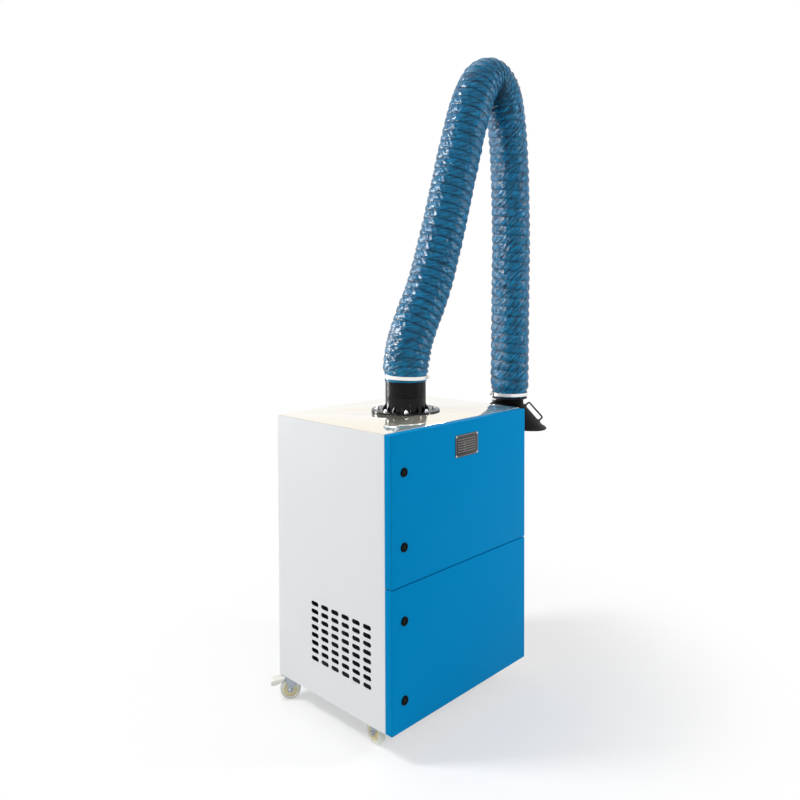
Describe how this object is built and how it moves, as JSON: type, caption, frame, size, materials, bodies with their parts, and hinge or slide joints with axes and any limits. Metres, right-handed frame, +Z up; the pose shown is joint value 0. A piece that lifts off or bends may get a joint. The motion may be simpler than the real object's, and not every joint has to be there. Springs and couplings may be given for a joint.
{
  "type": "mobile welding fume extractor",
  "caption": "Wheeled cabinet with hinged doors, a filter and a fan, and a jointed arm in a flexible hose that ends in a suction hood.",
  "frame": {"origin": "on the floor, under the middle of the whole object's box", "axes": "+Z up, -Y out of the doors, +X the way the arm leans"},
  "size_m": [1.2568, 0.6289, 2.4608],
  "materials": {
    "grey_paint": "semi-gloss",
    "top_paint": "gloss",
    "blue_paint": "semi-gloss",
    "zinc": "zinc plated",
    "steel": "satin",
    "black_plastic": "gloss",
    "black_paint": "semi-gloss",
    "plate_metal": "dark satin",
    "hose_fabric": "coated, glossy",
    "caster_plastic": "satin",
    "pedal_plastic": "satin",
    "foam": "matt",
    "filter_media": "matt",
    "casting": "cast",
    "red_plastic": "gloss"
  },
  "bodies": {
    "cabinet": {"base_pan": "grey_paint", "left_panel": "grey_paint", "right_panel": "grey_paint", "back_panel": "grey_paint", "top_panel": "top_paint", "mid_shelf": "zinc", "front_rail": "grey_paint", "hinge_1": "zinc", "hinge_2": "zinc", "hinge_3": "zinc", "hinge_4": "zinc", "filter_media": "filter_media", "filter_cap": "black_paint", "spark_baffle": "zinc", "dust_tray": "zinc", "fan_housing": "zinc", "fan_motor": "casting", "silencer_foam": "foam", "control_box": "black_plastic", "cable_gland": "black_plastic", "base_flange": "black_plastic", "caster_mount_1": "zinc", "caster_mount_2": "zinc", "caster_mount_3": "zinc", "caster_mount_4": "zinc"},
    "upper_door": {"upper_door": "blue_paint", "nameplate": "plate_metal"},
    "lower_door": {"lower_door": "blue_paint"},
    "lock_1": {"lock_1": "black_plastic"},
    "lock_2": {"lock_2": "black_plastic"},
    "lock_3": {"lock_3": "black_plastic"},
    "lock_4": {"lock_4": "black_plastic"},
    "caster_fork_1": {"caster_fork_1": "zinc"},
    "caster_wheel_1": {"caster_wheel_1": "caster_plastic"},
    "caster_fork_2": {"caster_fork_2": "zinc"},
    "caster_wheel_2": {"caster_wheel_2": "caster_plastic"},
    "caster_fork_3": {"caster_fork_3": "zinc"},
    "caster_wheel_3": {"caster_wheel_3": "caster_plastic"},
    "brake_pedal_3": {"brake_pedal_3": "pedal_plastic"},
    "caster_fork_4": {"caster_fork_4": "zinc"},
    "caster_wheel_4": {"caster_wheel_4": "caster_plastic"},
    "brake_pedal_4": {"brake_pedal_4": "pedal_plastic"},
    "fan_rotor": {"fan_impeller": "casting"},
    "switch": {"switch_knob": "red_plastic"},
    "arm_base": {"swivel_collar": "black_plastic", "shoulder_bracket": "steel", "hose_clamp_lower": "steel", "hose_lower": "hose_fabric"},
    "lower_arm": {"lower_link": "steel", "elbow_pin": "steel", "hose_elbow": "hose_fabric"},
    "upper_arm": {"upper_link": "steel", "hose_upper": "hose_fabric"},
    "wrist_sleeve": {"wrist_bracket": "steel", "hood_collar": "black_plastic", "hose_clamp_upper": "steel"},
    "hood": {"hood": "black_paint", "hood_handle": "black_plastic"},
    "damper": {"damper": "zinc"}
  },
  "joints": [
    {"name": "upper_door_hinge", "type": "hinge", "parent": "cabinet", "child": "upper_door", "pos_m": [0.14621, -0.28676, 0.086], "axis": [0, 0, 1], "range_deg": [0, 110]},
    {"name": "lower_door_hinge", "type": "hinge", "parent": "cabinet", "child": "lower_door", "pos_m": [0.14621, -0.28676, 0.086], "axis": [0, 0, 1], "range_deg": [0, 110]},
    {"name": "lock_1_turn", "type": "hinge", "parent": "lower_door", "child": "lock_1", "pos_m": [-0.52639, -0.31026, 0.18498], "axis": [0, 1, 0], "range_deg": [0, 90]},
    {"name": "lock_2_turn", "type": "hinge", "parent": "lower_door", "child": "lock_2", "pos_m": [-0.52639, -0.31026, 0.44197], "axis": [0, 1, 0], "range_deg": [0, 90]},
    {"name": "lock_3_turn", "type": "hinge", "parent": "upper_door", "child": "lock_3", "pos_m": [-0.52639, -0.31026, 0.68005], "axis": [0, 1, 0], "range_deg": [0, 90]},
    {"name": "lock_4_turn", "type": "hinge", "parent": "upper_door", "child": "lock_4", "pos_m": [-0.52639, -0.31026, 0.92005], "axis": [0, 1, 0], "range_deg": [0, 90]},
    {"name": "caster_1_swivel", "type": "hinge", "parent": "cabinet", "child": "caster_fork_1", "pos_m": [-0.53839, -0.21926, 0.0375], "axis": [0, 0, 1], "continuous": true},
    {"name": "caster_1_roll", "type": "hinge", "parent": "caster_fork_1", "child": "caster_wheel_1", "pos_m": [-0.53504, -0.18743, 0.0375], "axis": [-0.9945, 0.1045, 0], "continuous": true},
    {"name": "caster_2_swivel", "type": "hinge", "parent": "cabinet", "child": "caster_fork_2", "pos_m": [0.09461, -0.21926, 0.0375], "axis": [0, 0, 1], "continuous": true},
    {"name": "caster_2_roll", "type": "hinge", "parent": "caster_fork_2", "child": "caster_wheel_2", "pos_m": [0.09796, -0.18743, 0.0375], "axis": [-0.9945, 0.1045, 0], "continuous": true},
    {"name": "caster_3_swivel", "type": "hinge", "parent": "cabinet", "child": "caster_fork_3", "pos_m": [-0.53839, 0.21574, 0.0375], "axis": [0, 0, 1], "continuous": true},
    {"name": "caster_3_roll", "type": "hinge", "parent": "caster_fork_3", "child": "caster_wheel_3", "pos_m": [-0.56325, 0.23588, 0.0375], "axis": [-0.6293, -0.7771, 0], "continuous": true},
    {"name": "brake_3_press", "type": "hinge", "parent": "caster_fork_3", "child": "brake_pedal_3", "pos_m": [-0.57258, 0.24344, 0.0803], "axis": [-0.6293, -0.7771, 0], "range_deg": [0, 10]},
    {"name": "caster_4_swivel", "type": "hinge", "parent": "cabinet", "child": "caster_fork_4", "pos_m": [0.09461, 0.21574, 0.0375], "axis": [0, 0, 1], "continuous": true},
    {"name": "caster_4_roll", "type": "hinge", "parent": "caster_fork_4", "child": "caster_wheel_4", "pos_m": [0.07959, 0.244, 0.0375], "axis": [-0.8829, -0.4695, 0], "continuous": true},
    {"name": "brake_4_press", "type": "hinge", "parent": "caster_fork_4", "child": "brake_pedal_4", "pos_m": [0.07396, 0.25459, 0.0803], "axis": [-0.8829, -0.4695, 0], "range_deg": [0, 10]},
    {"name": "fan_spin", "type": "hinge", "parent": "cabinet", "child": "fan_rotor", "pos_m": [-0.22189, -0.00476, 0.4867], "axis": [0, 0, 1], "continuous": true},
    {"name": "switch_turn", "type": "hinge", "parent": "cabinet", "child": "switch", "pos_m": [0.21591, 0.10174, 0.662], "axis": [1, 0, 0], "range_deg": [0, 90]},
    {"name": "arm_swivel", "type": "hinge", "parent": "cabinet", "child": "arm_base", "pos_m": [-0.19739, -0.00476, 1.101], "axis": [0, 0, 1], "range_deg": [-105, 105]},
    {"name": "shoulder", "type": "hinge", "parent": "arm_base", "child": "lower_arm", "pos_m": [-0.19739, -0.00476, 1.227], "axis": [0, 1, 0], "range_deg": [-15, 15], "deforming": ["hose_lower"]},
    {"name": "elbow", "type": "hinge", "parent": "lower_arm", "child": "upper_arm", "pos_m": [0.34202, -0.00476, 2.37664], "axis": [0, 1, 0], "range_deg": [-75, 0], "deforming": ["hose_elbow"]},
    {"name": "wrist", "type": "hinge", "parent": "upper_arm", "child": "wrist_sleeve", "pos_m": [0.46521, -0.00476, 1.117], "axis": [0, 1, 0], "range_deg": [-35, 35], "deforming": ["hose_upper"]},
    {"name": "hood_turn", "type": "hinge", "parent": "wrist_sleeve", "child": "hood", "pos_m": [0.46521, -0.00476, 1.0027], "axis": [0, 0, 1], "range_deg": [-170, 170]},
    {"name": "damper_turn", "type": "hinge", "parent": "hood", "child": "damper", "pos_m": [0.46521, -0.00476, 1.0107], "axis": [0.6947, -0.7193, 0], "range_deg": [0, 90]}
  ]
}
